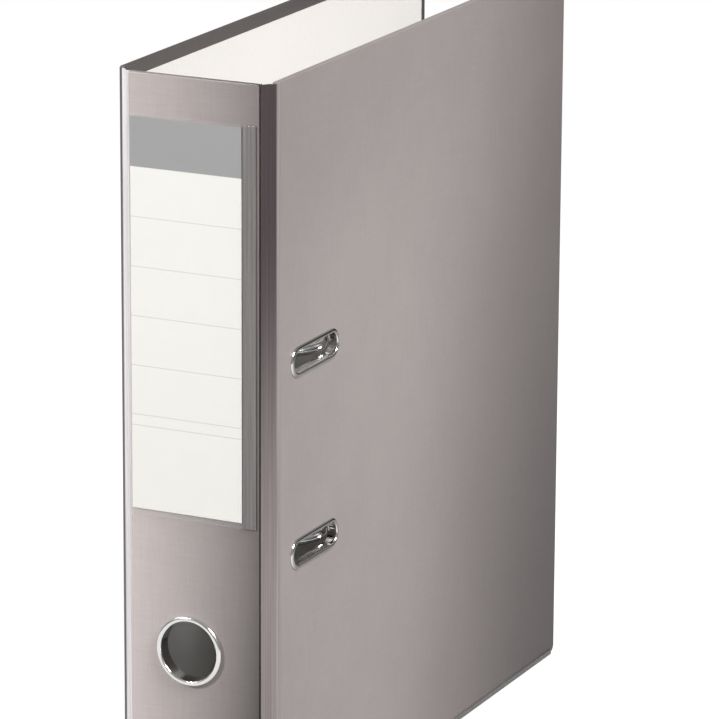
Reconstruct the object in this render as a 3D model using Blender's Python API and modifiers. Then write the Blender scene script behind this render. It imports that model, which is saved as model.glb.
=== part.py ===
"""Lever arch file for A4 sheets, standing upright and closed.

X runs across the spine from the back cover (-X) to the front cover (+X),
Y runs from the spine (-Y) to the fore edge (+Y), and Z points up.
The origin is the centre of the bounding box on the floor. Units are metres.
"""

import math

import bmesh
import bpy
from mathutils import Matrix, Vector

# Shell: two covers and a spine board joined by film hinges.
HEIGHT = 0.318
SHELL_HALF = 0.0350
FORE_EDGE = 0.1425
SPINE_FACE = -0.1410
COVER_NEAR = -0.1360
SPINE_HALF = 0.0287
COVER_T = 0.0026
SPINE_T = 0.0024
LINING_T = 0.0004
GAP = 0.0003
TURN_IN = 0.0050
BOARD_LIFT = 0.0009
SPINE_TOP = HEIGHT - 0.0004
LINING_NEAR = COVER_NEAR + 0.0015
LINING_CORNER_R = 0.0010
SPINE_LINING_INSET = 0.0010
CORNER_R = 0.0030
EDGE_ROUND = 0.0005

# Metal rails along the covers' lower edges.
RAIL_WALL = 0.0005
RAIL_H = 0.0028
RAIL_START = COVER_NEAR + 0.0025
RAIL_END = FORE_EDGE - 0.0040

# Film hinges between the boards.
STRIP_T = 0.0008
STRIP_BULGE = 0.0010
STRIP_NEAR = (0.0293, -0.1400)
STRIP_FAR = (0.0342, -0.1367)

# Spine label and its clear pocket.
LABEL_T = 0.0003
LABEL_X = (-0.0277, 0.0216)
LABEL_Z = (0.1388, 0.2998)
POCKET_X = (-0.0283, 0.0278)
POCKET_Z = (0.1366, 0.3010)
POCKET_CORNER_R = 0.0010

# Finger ring in the spine.
RING_X = -0.0022
RING_Z = 0.0815
RING_R = 0.0147
RING_BORE_R = 0.0125
RING_TUBE_R = 0.0131
RING_HOLE_R = 0.0135
RING_PROUD = 0.0015
WASHER_R = 0.0153
WASHER_T = 0.0008

# Lever arch mechanism on the back cover.
MECH_Z = 0.1594
ARCH_HALF_PITCH = 0.0400
WIRE_R = 0.0020
PLATE_T = 0.0010
PLATE_Y = (-0.1210, -0.0590)
PLATE_HALF_Z = 0.0800
PLATE_CORNER_R = 0.0060
AXIS_LIFT = 0.0033
AXIS_Y = -0.1040
POST_REACH = 0.0340
POST_R = 0.0023
POST_TOP = 0.0276
POST_BORE_DEPTH = 0.0040
POST_COLLAR_R = 0.0037
POST_COLLAR_H = 0.0012
POST_SPIGOT_R = 0.0015
ARCH_FOOT = 0.0385
CRANK_R = 0.0100
CRANK_RISE = 0.00016
CRANK_HALF = 0.0100
BEND_R = 0.0030
ARCH_TIP_GAP = 0.0004

# Saddle clips and leaf spring on the plate.
CLIP_T = 0.0009
CLIP_REACH = 0.0085
CLIP_AT = 0.0260
CLIP_HALF_W = 0.0050
LEAF_SPAN = (-0.0150, 0.0115)
LEAF_HALF_W = 0.0055
LEAF_T = 0.0005
LEAF_CORNER_R = 0.0020

# Lever, its pivot and its roller, measured from the arch axis.
PIVOT_ALONG = 0.01392
PIVOT_LIFT = 0.0120
LEVER_SLOPE = math.radians(40)
LEVER_LEN = 0.0450
GRIP_START = 0.0270
GRIP_HALF_W = 0.0085
CHEEK_OUT = 0.0056
CHEEK_IN = 0.0044
EAR_OUT = 0.0073
EAR_IN = 0.0060
EAR_R = 0.0036
BRACKET_SPAN = (0.0128, 0.0225)
BRACKET_T = 0.0010
PIVOT_R = 0.0015
PIVOT_HOLE_R = 0.0018
PIVOT_PIN_HALF = 0.0086
ROLLER_PIN_R = 0.0012
ROLLER_PIN_HALF = 0.0055
ROLLER_R = 0.0035
ROLLER_ARM = 0.00823
ROLLER_OFF = 0.00023
ROLLER_HALF = 0.0040
ROLLER_BORE_R = 0.0015

# Openings in the front cover for the arches.
SLOT_Y = -0.1038
SLOT_RAISE = 0.0022
SLOT_LEN = 0.0390
SLOT_H = 0.0090
EYELET_WALL = 0.0006
EYELET_FLANGE = 0.0020
EYELET_PROUD = 0.0010

# Compressor bar on the posts.
BAR_HALF_Z = 0.0620
BAR_HALF_Y = 0.0070
BAR_H = 0.0034
BAR_T = 0.0010
BAR_LIFT = 0.0002
BAR_CORNER_R = 0.0050
BAR_HOLE_R = 0.0042
BUSH_R = 0.0055
BUSH_NECK_R = 0.0039
BUSH_T = 0.0013
BUSH_FOOT = 0.0006

# Rivets through plate and back cover.
RIVET_R = 0.0018
RIVET_HEAD_R = 0.0042
RIVET_HEAD_H = 0.0007
RIVET_EDGE = 0.0070

ROUND_STEPS = 32

# Levels across the file.
COVER_IN = SHELL_HALF - COVER_T
LINING_OUT = COVER_IN - GAP
LINING_IN = LINING_OUT - LINING_T
PLATE_TOP = -LINING_IN + GAP + PLATE_T
AXIS_X = PLATE_TOP + AXIS_LIFT
POST_Y = AXIS_Y + POST_REACH
PIVOT_X = AXIS_X + PIVOT_LIFT
PIVOT_Y = AXIS_Y + PIVOT_ALONG

for old in list(bpy.data.objects):
    bpy.data.objects.remove(old, do_unlink=True)
for old in list(bpy.data.collections):
    bpy.data.collections.remove(old)

PART = bpy.data.collections.new("lever_arch_file")
CUTTERS = bpy.data.collections.new("cutters")
bpy.context.scene.collection.children.link(PART)
bpy.context.scene.collection.children.link(CUTTERS)

# Local outline axes (a, b, extrusion) turned into the row's axes.
PLANES = {
    "XY": Matrix.Identity(4),
    "YZ": Matrix(((0, 0, 1, 0), (1, 0, 0, 0), (0, 1, 0, 0), (0, 0, 0, 1))),
    "XZ": Matrix(((1, 0, 0, 0), (0, 0, -1, 0), (0, 1, 0, 0), (0, 0, 0, 1))),
}
NORMALS = {"XY": Vector((0, 0, 1)), "YZ": Vector((1, 0, 0)), "XZ": Vector((0, 1, 0))}


def material(name, colour, roughness, metallic=0.0):
    """Principled material of one flat colour."""
    made = bpy.data.materials.new(name)
    made.use_nodes = True
    shader = made.node_tree.nodes["Principled BSDF"]
    shader.inputs["Base Color"].default_value = (*colour, 1)
    shader.inputs["Roughness"].default_value = roughness
    shader.inputs["Metallic"].default_value = metallic
    made.diffuse_color = (*colour, 1)
    return made


def axis_empty(name, x, y):
    """Empty on a vertical joint axis, for the pieces that turn about it."""
    made = bpy.data.objects.new(name, None)
    made.location = (x, y, 0)
    made.empty_display_size = 0.02
    PART.objects.link(made)
    return made


def finish(made, mat, parent=None):
    """Give a piece its material and hang it on its joint axis."""
    made.data.materials.clear()
    made.data.materials.append(mat)
    if parent is not None:
        made.parent = parent
        made.location = made.location - parent.location
    return made


def bevelled(made, width, segments=2):
    """Round the sharp edges of a piece."""
    modifier = made.modifiers.new("edge_round", "BEVEL")
    modifier.width = width
    modifier.segments = segments
    modifier.limit_method = "ANGLE"
    modifier.angle_limit = math.radians(50)
    return made


def arc(centre_a, centre_b, radius, start, end, steps):
    """Points along an arc, angles in degrees."""
    points = []
    for i in range(steps + 1):
        angle = math.radians(start + (end - start) * i / steps)
        points.append((centre_a + radius * math.cos(angle), centre_b + radius * math.sin(angle)))
    return points


def circle(centre_a, centre_b, radius, steps=ROUND_STEPS):
    """Closed round outline."""
    return arc(centre_a, centre_b, radius, 0, 360, steps)[:-1]


def rounded(a0, a1, b0, b1, radii, steps=4):
    """Rectangle outline with its own radius at each corner, from (a0, b0) round by (a1, b0)."""
    corners = ((a0, b0, 180), (a1, b0, 270), (a1, b1, 0), (a0, b1, 90))
    points = []
    for (a, b, start), radius in zip(corners, radii):
        if radius == 0:
            points.append((a, b))
            continue
        centre_a = a + radius if a == a0 else a - radius
        centre_b = b + radius if b == b0 else b - radius
        points.extend(arc(centre_a, centre_b, radius, start, start + 90, steps))
    return points


def stadium(centre_a, centre_b, length, height, steps=12):
    """Outline with straight sides along a and round ends."""
    radius = height / 2
    reach = length / 2 - radius
    points = arc(centre_a + reach, centre_b, radius, -90, 90, steps)
    points.extend(arc(centre_a - reach, centre_b, radius, 90, 270, steps))
    return points


def prism(name, plane, loops, low, high, collection=PART):
    """Solid of flat outlines, the first one outside and the others holes, from low to high."""
    curve = bpy.data.curves.new(name + "_outline", "CURVE")
    curve.dimensions = "2D"
    curve.fill_mode = "BOTH"
    curve.extrude = (high - low) / 2
    for loop in loops:
        spline = curve.splines.new("POLY")
        spline.points.add(len(loop) - 1)
        for point, (a, b) in zip(spline.points, loop):
            point.co = (a, b, 0, 1)
        spline.use_cyclic_u = True
    outline = bpy.data.objects.new(name + "_outline", curve)
    bpy.context.scene.collection.objects.link(outline)
    bpy.context.view_layer.update()
    mesh = bpy.data.meshes.new_from_object(outline)
    bpy.data.objects.remove(outline, do_unlink=True)
    mesh.name = name
    body = bmesh.new()
    body.from_mesh(mesh)
    bmesh.ops.remove_doubles(body, verts=body.verts, dist=0.000001)
    body.transform(PLANES[plane])
    bmesh.ops.recalc_face_normals(body, faces=body.faces)
    if body.calc_volume(signed=True) < 0:
        bmesh.ops.reverse_faces(body, faces=body.faces)
    body.to_mesh(mesh)
    body.free()
    made = bpy.data.objects.new(name, mesh)
    made.location = NORMALS[plane] * ((low + high) / 2)
    collection.objects.link(made)
    return made


def turned(name, profile, place, turn, steps=ROUND_STEPS, closed=False):
    """Round piece: a profile of (radius, height) swept about its own axis."""
    mesh = bpy.data.meshes.new(name)
    body = bmesh.new()
    points = [body.verts.new((radius, 0, height)) for radius, height in profile]
    for first, second in zip(points, points[1:]):
        body.edges.new((first, second))
    if closed:
        body.edges.new((points[-1], points[0]))
    body.to_mesh(mesh)
    body.free()
    made = bpy.data.objects.new(name, mesh)
    made.location = place
    made.rotation_euler = turn
    screw = made.modifiers.new("turn", "SCREW")
    screw.axis = "Z"
    screw.steps = steps
    screw.render_steps = steps
    screw.use_merge_vertices = True
    screw.merge_threshold = 0.00005
    screw.use_smooth_shade = True
    PART.objects.link(made)
    return made


def cut(made, cutter):
    """Take a cutter's volume out of a piece."""
    cutter.hide_render = True
    cutter.display_type = "WIRE"
    modifier = made.modifiers.new("cut_" + cutter.name, "BOOLEAN")
    modifier.operation = "DIFFERENCE"
    modifier.solver = "EXACT"
    modifier.object = cutter
    return made


TO_X = (0, math.pi / 2, 0)
TO_SPINE = (math.pi / 2, 0, 0)
UPRIGHT = (0, 0, 0)

BOARD_FILM = material("cover_film", (0.36, 0.33, 0.32), 0.42)
SPINE_FILM = material("spine_film", (0.38, 0.35, 0.34), 0.42)
HINGE_FILM = material("hinge_film", (0.10, 0.08, 0.085), 0.5)
LINING_PAPER = material("lining_paper", (0.88, 0.85, 0.80), 0.8)
LABEL_CARD = material("label_card", (0.90, 0.88, 0.84), 0.7)
POCKET_FILM = material("pocket_film", (0.75, 0.76, 0.76), 0.2)
RING_METAL = material("ring_metal", (0.80, 0.80, 0.80), 0.18, 1.0)
RAIL_METAL = material("rail_metal", (0.62, 0.62, 0.62), 0.3, 1.0)
EYELET_METAL = material("eyelet_metal", (0.70, 0.70, 0.70), 0.15, 1.0)
PLATE_METAL = material("plate_metal", (0.66, 0.67, 0.68), 0.3, 1.0)
WIRE_METAL = material("wire_metal", (0.76, 0.77, 0.78), 0.14, 1.0)
RIVET_METAL = material("rivet_metal", (0.60, 0.60, 0.60), 0.28, 1.0)
BLACK_PLASTIC = material("black_plastic", (0.02, 0.02, 0.02), 0.4)

# The joint axes. Each film strip turns on its parent board's outer edge.
REAR_STRIP_AXIS = axis_empty("rear_strip_axis", -SHELL_HALF, COVER_NEAR)
SPINE_AXIS = axis_empty("spine_axis", -SPINE_HALF, SPINE_FACE)
FRONT_STRIP_AXIS = axis_empty("front_strip_axis", SPINE_HALF, SPINE_FACE)
FRONT_COVER_AXIS = axis_empty("front_cover_axis", SHELL_HALF, COVER_NEAR)
ARCH_AXIS = axis_empty("arch_axis", AXIS_X, AXIS_Y)
LEVER_AXIS = axis_empty("lever_axis", PIVOT_X, PIVOT_Y)
BAR_AXIS = axis_empty("bar_axis", AXIS_X, POST_Y)


# Covers. The back one is drilled for the rivets, the front one is slotted for the arches.
RIVET_SPOTS = [
    (y, MECH_Z + side * (PLATE_HALF_Z - RIVET_EDGE))
    for y in (PLATE_Y[0] + RIVET_EDGE, PLATE_Y[1] - RIVET_EDGE)
    for side in (-1, 1)
]
SLOT_SPOTS = {
    "upper": MECH_Z + SLOT_RAISE + ARCH_HALF_PITCH,
    "lower": MECH_Z + SLOT_RAISE - ARCH_HALF_PITCH,
}
COVER_OUTLINE = rounded(
    COVER_NEAR, FORE_EDGE, BOARD_LIFT, HEIGHT, (0, CORNER_R, CORNER_R, 0)
)
LINING_OUTLINE = rounded(
    LINING_NEAR, FORE_EDGE - TURN_IN, RAIL_H + TURN_IN, HEIGHT - TURN_IN,
    (0, LINING_CORNER_R, LINING_CORNER_R, 0),
)

back_cover = prism(
    "back_cover", "YZ",
    [COVER_OUTLINE] + [circle(y, z, RIVET_R + GAP, 20) for y, z in RIVET_SPOTS],
    -SHELL_HALF, -COVER_IN,
)
finish(bevelled(back_cover, EDGE_ROUND), BOARD_FILM)
back_lining = prism(
    "back_lining", "YZ",
    [LINING_OUTLINE] + [circle(y, z, RIVET_R + GAP, 20) for y, z in RIVET_SPOTS],
    -LINING_OUT, -LINING_IN,
)
finish(back_lining, LINING_PAPER)

SLOT_CUTS = [
    stadium(SLOT_Y, z, SLOT_LEN + 2 * (EYELET_WALL + GAP), SLOT_H + 2 * (EYELET_WALL + GAP))
    for z in SLOT_SPOTS.values()
]
front_cover = prism("front_cover", "YZ", [COVER_OUTLINE] + SLOT_CUTS, COVER_IN, SHELL_HALF)
finish(bevelled(front_cover, EDGE_ROUND), BOARD_FILM, FRONT_COVER_AXIS)
front_lining = prism("front_lining", "YZ", [LINING_OUTLINE] + SLOT_CUTS, LINING_IN, LINING_OUT)
finish(front_lining, LINING_PAPER, FRONT_COVER_AXIS)


def edge_rail(name, side, parent=None):
    """U-section rail that wraps a cover's lower edge."""
    wall_out = SHELL_HALF + GAP + RAIL_WALL
    wall_in = COVER_IN - GAP - RAIL_WALL
    section = [
        (wall_in, 0.0),
        (wall_out, 0.0),
        (wall_out, RAIL_H),
        (wall_out - RAIL_WALL, RAIL_H),
        (wall_out - RAIL_WALL, RAIL_WALL),
        (wall_in + RAIL_WALL, RAIL_WALL),
        (wall_in + RAIL_WALL, RAIL_H),
        (wall_in, RAIL_H),
    ]
    made = prism(name, "XZ", [[(side * x, z) for x, z in section]], RAIL_START, RAIL_END)
    return finish(made, RAIL_METAL, parent)


edge_rail("back_edge_rail", -1)
edge_rail("front_edge_rail", 1, FRONT_COVER_AXIS)

# Slot eyelets: a sleeve through the front cover with a domed flange on its outer face.
EYELET_SECTION = [
    (0.0, LINING_IN),
    (0.0, SHELL_HALF + EYELET_PROUD - 0.0005),
    (0.0003, SHELL_HALF + EYELET_PROUD - 0.0001),
    (0.0009, SHELL_HALF + EYELET_PROUD),
    (EYELET_FLANGE - 0.0004, SHELL_HALF + EYELET_PROUD - 0.0002),
    (EYELET_FLANGE, SHELL_HALF + GAP + 0.0002),
    (EYELET_FLANGE, SHELL_HALF + GAP),
    (EYELET_WALL, SHELL_HALF + GAP),
    (EYELET_WALL, LINING_IN),
]


def slot_eyelet(name, slot_z):
    """Loft of the eyelet's section round the slot's outline."""
    mesh = bpy.data.meshes.new(name)
    body = bmesh.new()
    rings = []
    for offset, x in EYELET_SECTION:
        outline = stadium(SLOT_Y, slot_z, SLOT_LEN + 2 * offset, SLOT_H + 2 * offset)
        rings.append([body.verts.new((x, y, z)) for y, z in outline])
    for ring, after in zip(rings, rings[1:] + rings[:1]):
        for i, corner in enumerate(ring):
            beside = (i + 1) % len(ring)
            body.faces.new((corner, ring[beside], after[beside], after[i]))
    bmesh.ops.recalc_face_normals(body, faces=body.faces)
    body.to_mesh(mesh)
    body.free()
    made = bpy.data.objects.new(name, mesh)
    PART.objects.link(made)
    return finish(made, EYELET_METAL, FRONT_COVER_AXIS)


for level, slot_z in SLOT_SPOTS.items():
    slot_eyelet("slot_eyelet_" + level, slot_z)


def film_strip(name, side, parent):
    """Curved film between a cover's near edge and the spine board's edge."""
    near = Vector(STRIP_NEAR)
    far = Vector(STRIP_FAR)
    along = (far - near).normalized()
    inward = Vector((-along.y, along.x))
    outer = []
    inner = []
    steps = 8
    for i in range(steps + 1):
        share = i / steps
        sag = STRIP_BULGE * math.sin(math.pi * share)
        centre = near.lerp(far, share) + inward * sag
        outer.append(centre - inward * STRIP_T / 2)
        inner.append(centre + inward * STRIP_T / 2)
    loop = [(side * p.x, p.y) for p in outer + inner[::-1]]
    made = prism(name, "XY", [loop], BOARD_LIFT, SPINE_TOP)
    return finish(made, HINGE_FILM, parent)


film_strip("rear_hinge_strip", -1, REAR_STRIP_AXIS)
film_strip("front_hinge_strip", 1, FRONT_STRIP_AXIS)

# Spine board, its lining, the label and the pocket.
RING_SEAT = circle(RING_X, RING_Z, RING_HOLE_R, 40)
spine_board = prism(
    "spine_board", "XZ",
    [rounded(-SPINE_HALF, SPINE_HALF, BOARD_LIFT, SPINE_TOP, (0, 0, 0, 0)), RING_SEAT],
    SPINE_FACE, SPINE_FACE + SPINE_T,
)
finish(bevelled(spine_board, EDGE_ROUND), SPINE_FILM, SPINE_AXIS)
SPINE_IN = SPINE_FACE + SPINE_T
spine_lining = prism(
    "spine_lining", "XZ",
    [
        rounded(
            -SPINE_HALF + SPINE_LINING_INSET, SPINE_HALF - SPINE_LINING_INSET,
            TURN_IN, HEIGHT - TURN_IN, (0, 0, 0, 0),
        ),
        RING_SEAT,
    ],
    SPINE_IN + GAP, SPINE_IN + GAP + LINING_T,
)
finish(spine_lining, LINING_PAPER, SPINE_AXIS)
label_card = prism(
    "label_card", "XZ", [rounded(*LABEL_X, *LABEL_Z, (0, 0, 0, 0))],
    SPINE_FACE - GAP - LABEL_T, SPINE_FACE - GAP,
)
finish(label_card, LABEL_CARD, SPINE_AXIS)
label_pocket = prism(
    "label_pocket", "XZ", [rounded(*POCKET_X, *POCKET_Z, (POCKET_CORNER_R,) * 4)],
    SPINE_FACE - 2 * GAP - 2 * LABEL_T, SPINE_FACE - 2 * GAP - LABEL_T,
)
finish(label_pocket, POCKET_FILM, SPINE_AXIS)

# Finger ring: a domed flange outside and a sleeve through the spine, held by a washer inside.
WASHER_FACE = SPINE_IN + 2 * GAP + LINING_T
RING_DEPTH = WASHER_FACE + 0.0010 - SPINE_FACE
ring_profile = [
    (RING_BORE_R + 0.0003, RING_PROUD - 0.0003),
    (RING_BORE_R + 0.0009, RING_PROUD),
    (RING_R - 0.0010, RING_PROUD - 0.0003),
    (RING_R, GAP + 0.0004),
    (RING_R, GAP),
    (RING_TUBE_R, GAP),
    (RING_TUBE_R, -RING_DEPTH),
    (RING_BORE_R, -RING_DEPTH),
    (RING_BORE_R, RING_PROUD - 0.0009),
]
finger_ring = turned(
    "finger_ring", ring_profile, (RING_X, SPINE_FACE, RING_Z), TO_SPINE, 40, closed=True
)
finish(finger_ring, RING_METAL, SPINE_AXIS)
WASHER_SEAT = SPINE_FACE - WASHER_FACE
washer_profile = [
    (RING_HOLE_R, WASHER_SEAT),
    (WASHER_R, WASHER_SEAT),
    (WASHER_R, WASHER_SEAT - WASHER_T / 2),
    (RING_R, WASHER_SEAT - WASHER_T),
    (RING_HOLE_R, WASHER_SEAT - WASHER_T),
]
ring_washer = turned(
    "finger_ring_washer", washer_profile, (RING_X, SPINE_FACE, RING_Z), TO_SPINE, 40, closed=True
)
finish(ring_washer, RING_METAL, SPINE_AXIS)

# Base plate with holes for the rivets and the posts' spigots.
POST_SPOTS = {"upper": MECH_Z + ARCH_HALF_PITCH, "lower": MECH_Z - ARCH_HALF_PITCH}
plate_loops = [
    rounded(*PLATE_Y, MECH_Z - PLATE_HALF_Z, MECH_Z + PLATE_HALF_Z, (PLATE_CORNER_R,) * 4, 6)
]
plate_loops.extend(circle(y, z, RIVET_R + GAP, 20) for y, z in RIVET_SPOTS)
plate_loops.extend(circle(POST_Y, z, POST_SPIGOT_R + GAP, 20) for z in POST_SPOTS.values())
base_plate = prism("base_plate", "YZ", plate_loops, PLATE_TOP - PLATE_T, PLATE_TOP)
finish(base_plate, PLATE_METAL)

# Rivets from the plate's face to the outside of the back cover.
RIVET_LOW = -SHELL_HALF - GAP - RIVET_HEAD_H
RIVET_HIGH = PLATE_TOP + GAP + RIVET_HEAD_H
rivet_profile = [
    (0.0, RIVET_HIGH),
    (RIVET_HEAD_R * 0.55, RIVET_HIGH - 0.0001),
    (RIVET_HEAD_R * 0.9, RIVET_HIGH - 0.0004),
    (RIVET_HEAD_R, PLATE_TOP + GAP),
    (RIVET_R, PLATE_TOP + GAP),
    (RIVET_R, -SHELL_HALF - GAP),
    (RIVET_HEAD_R, -SHELL_HALF - GAP),
    (RIVET_HEAD_R * 0.9, RIVET_LOW + 0.0004),
    (RIVET_HEAD_R * 0.55, RIVET_LOW + 0.0001),
    (0.0, RIVET_LOW),
]
for number, (y, z) in enumerate(RIVET_SPOTS, 1):
    rivet = turned("rivet_%d" % number, rivet_profile, (0, y, z), TO_X, 20)
    finish(rivet, RIVET_METAL)

# Fixed posts that the sheets hang on.
post_profile = [
    (0.0, AXIS_X + POST_TOP - POST_BORE_DEPTH),
    (POST_R - 0.0009, AXIS_X + POST_TOP - POST_BORE_DEPTH),
    (POST_R - 0.0006, AXIS_X + POST_TOP),
    (POST_R - 0.0002, AXIS_X + POST_TOP),
    (POST_R, AXIS_X + POST_TOP - 0.0003),
    (POST_R, PLATE_TOP + GAP + POST_COLLAR_H),
    (POST_COLLAR_R, PLATE_TOP + GAP + POST_COLLAR_H - 0.0003),
    (POST_COLLAR_R, PLATE_TOP + GAP),
    (POST_SPIGOT_R, PLATE_TOP + GAP),
    (POST_SPIGOT_R, PLATE_TOP - PLATE_T + 0.0001),
    (0.0, PLATE_TOP - PLATE_T + 0.0001),
]
for level, z in POST_SPOTS.items():
    post = turned("post_" + level, post_profile, (0, POST_Y, z), TO_X, 24)
    finish(post, WIRE_METAL)


def arch_side(sign):
    """One arch from its tip over the crown and down to the crank, as (along, lift, level)."""
    level = sign * ARCH_HALF_PITCH
    centre = POST_REACH / 2
    path = [(POST_REACH, POST_TOP + ARCH_TIP_GAP, level)]
    for along, lift in arc(centre, ARCH_FOOT, centre, 0, 180, 20):
        path.append((along, lift, level))
    for side, lift in arc(level - sign * BEND_R, BEND_R, BEND_R, 0, -90, 5):
        offset = side - (level - sign * BEND_R)
        path.append((0.0, lift, level - sign * BEND_R + sign * offset))
    turn = CRANK_HALF + BEND_R
    for i in range(6):
        angle = math.radians(90 * i / 5)
        path.append((BEND_R * (1 - math.cos(angle)), 0.0, sign * (turn - BEND_R * math.sin(angle))))
    for i in range(6):
        angle = math.radians(90 * i / 5)
        along = CRANK_R - BEND_R * (1 - math.sin(angle))
        path.append((along, CRANK_RISE, sign * (CRANK_HALF - BEND_R * (1 - math.cos(angle)))))
    return path


def wire(name, points, radius, parent, mat):
    """Round bar along a line of points given from its parent's place."""
    curve = bpy.data.curves.new(name, "CURVE")
    curve.dimensions = "3D"
    curve.bevel_depth = radius
    curve.bevel_resolution = 3
    curve.use_fill_caps = True
    curve.twist_mode = "MINIMUM"
    spline = curve.splines.new("POLY")
    spline.points.add(len(points) - 1)
    for point, place in zip(spline.points, points):
        point.co = (*place, 1)
    spline.use_smooth = True
    made = bpy.data.objects.new(name, curve)
    made.parent = parent
    PART.objects.link(made)
    return finish(made, mat)


upper_side = arch_side(1)
lower_side = arch_side(-1)[::-1]
arch_path = [(lift, along, MECH_Z + level) for along, lift, level in upper_side + lower_side]
wire("arch_wire", arch_path, WIRE_R, ARCH_AXIS, WIRE_METAL)

# Saddle clips that hold the arch wire's torsion bar down on the plate.
clip_in = WIRE_R + GAP
clip_out = clip_in + CLIP_T
foot = -AXIS_LIFT + GAP
foot_top = foot + CLIP_T
clip_section = [(-CLIP_REACH, foot), (-clip_in, foot)]
clip_section.extend(arc(0, 0, clip_in, 180, 0, 12))
clip_section.extend([(clip_in, foot), (CLIP_REACH, foot), (CLIP_REACH, foot_top), (clip_out, foot_top)])
clip_section.extend(arc(0, 0, clip_out, 0, 180, 12))
clip_section.extend([(-clip_out, foot_top), (-CLIP_REACH, foot_top)])
for level, sign in (("upper", 1), ("lower", -1)):
    loop = [(AXIS_X + lift, AXIS_Y + along) for along, lift in clip_section]
    centre = MECH_Z + sign * CLIP_AT
    clip = prism("wire_clip_" + level, "XY", [loop], centre - CLIP_HALF_W, centre + CLIP_HALF_W)
    finish(clip, PLATE_METAL)

# Leaf spring under the crank, fixed on the plate's spine side.
leaf_low = AXIS_X - AXIS_LIFT + GAP
leaf_outline = rounded(
    AXIS_Y + LEAF_SPAN[0], AXIS_Y + LEAF_SPAN[1], MECH_Z - LEAF_HALF_W, MECH_Z + LEAF_HALF_W,
    (LEAF_CORNER_R,) * 4,
)
leaf_spring = prism("leaf_spring", "YZ", [leaf_outline], leaf_low, leaf_low + LEAF_T)
finish(leaf_spring, PLATE_METAL)

# Bracket with two ears that carry the lever's pivot pin.
bracket_foot = -AXIS_LIFT + GAP
bracket_side = [(BRACKET_SPAN[0], bracket_foot), (BRACKET_SPAN[1], bracket_foot), (BRACKET_SPAN[1], -0.0015)]
bracket_side.extend(arc(PIVOT_ALONG, PIVOT_LIFT, EAR_R, 0, 180, 14))
bracket_side.append((BRACKET_SPAN[0], 0.0075))
bracket_loop = [(AXIS_X + lift, AXIS_Y + along) for along, lift in bracket_side]
pin_hole = circle(PIVOT_X, PIVOT_Y, PIVOT_HOLE_R, 24)
lever_bracket = prism("lever_bracket", "XY", [bracket_loop, pin_hole], MECH_Z - EAR_OUT, MECH_Z + EAR_OUT)
between_ears = prism(
    "between_ears", "YZ",
    [rounded(AXIS_Y, AXIS_Y + 0.030, MECH_Z - EAR_IN, MECH_Z + EAR_IN, (0, 0, 0, 0))],
    AXIS_X + bracket_foot + BRACKET_T, AXIS_X + 0.020, CUTTERS,
)
cut(lever_bracket, between_ears)
finish(lever_bracket, PLATE_METAL)

# The lever is drawn along its own length (a) and towards its roller (b).
LEVER_ALONG = Vector((math.sin(LEVER_SLOPE), -math.cos(LEVER_SLOPE)))
LEVER_DOWN = Vector((-math.cos(LEVER_SLOPE), -math.sin(LEVER_SLOPE)))


def on_lever(points):
    """Turn outline points from the lever's own directions into X and Y."""
    pivot = Vector((PIVOT_X, PIVOT_Y))
    return [tuple(pivot + LEVER_ALONG * a + LEVER_DOWN * b) for a, b in points]


arm_side = arc(0.0, 0.0, 0.0038, 270, 180, 6)
arm_side.extend(arc(ROLLER_OFF, ROLLER_ARM, 0.0026, 180, 0, 10))
arm_side.extend([(0.0060, 0.0034), (0.0340, 0.0018), (0.0395, 0.0008), (0.0400, -0.0014), (0.0390, -0.0030)])
arm_loops = [
    on_lever(arm_side),
    on_lever(circle(0.0, 0.0, PIVOT_HOLE_R, 24)),
    on_lever(circle(ROLLER_OFF, ROLLER_ARM, ROLLER_PIN_R + GAP, 20)),
]
lever_arm = prism("lever_arm", "XY", arm_loops, MECH_Z - CHEEK_OUT, MECH_Z + CHEEK_OUT)
channel = prism(
    "lever_channel", "XY",
    [on_lever([(-0.0080, -0.0026), (0.0330, -0.0022), (0.0330, 0.0140), (-0.0080, 0.0140)])],
    MECH_Z - CHEEK_IN, MECH_Z + CHEEK_IN, CUTTERS,
)
channel.parent = LEVER_AXIS
channel.location = channel.location - LEVER_AXIS.location
cut(lever_arm, channel)
finish(lever_arm, WIRE_METAL, LEVER_AXIS)

grip_side = rounded(GRIP_START, LEVER_LEN, -0.0056, 0.0040, (0.0015, 0.0030, 0.0040, 0.0015), 5)
lever_grip = prism("lever_grip", "XY", [on_lever(grip_side)], MECH_Z - GRIP_HALF_W, MECH_Z + GRIP_HALF_W)
bevelled(lever_grip, 0.0010, 3)
socket = prism(
    "grip_socket", "XY",
    [on_lever([(0.0240, -0.0042), (0.0404, -0.0042), (0.0404, 0.0026), (0.0240, 0.0026)])],
    MECH_Z - CHEEK_OUT - GAP, MECH_Z + CHEEK_OUT + GAP, CUTTERS,
)
socket.parent = LEVER_AXIS
socket.location = socket.location - LEVER_AXIS.location
cut(lever_grip, socket)
finish(lever_grip, BLACK_PLASTIC, LEVER_AXIS)


def pin_profile(radius, half):
    """Plain pin with chamfered ends, centred on its own length."""
    edge = 0.0003
    return [(0.0, half), (radius - edge, half), (radius, half - edge),
            (radius, edge - half), (radius - edge, -half), (0.0, -half)]


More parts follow.
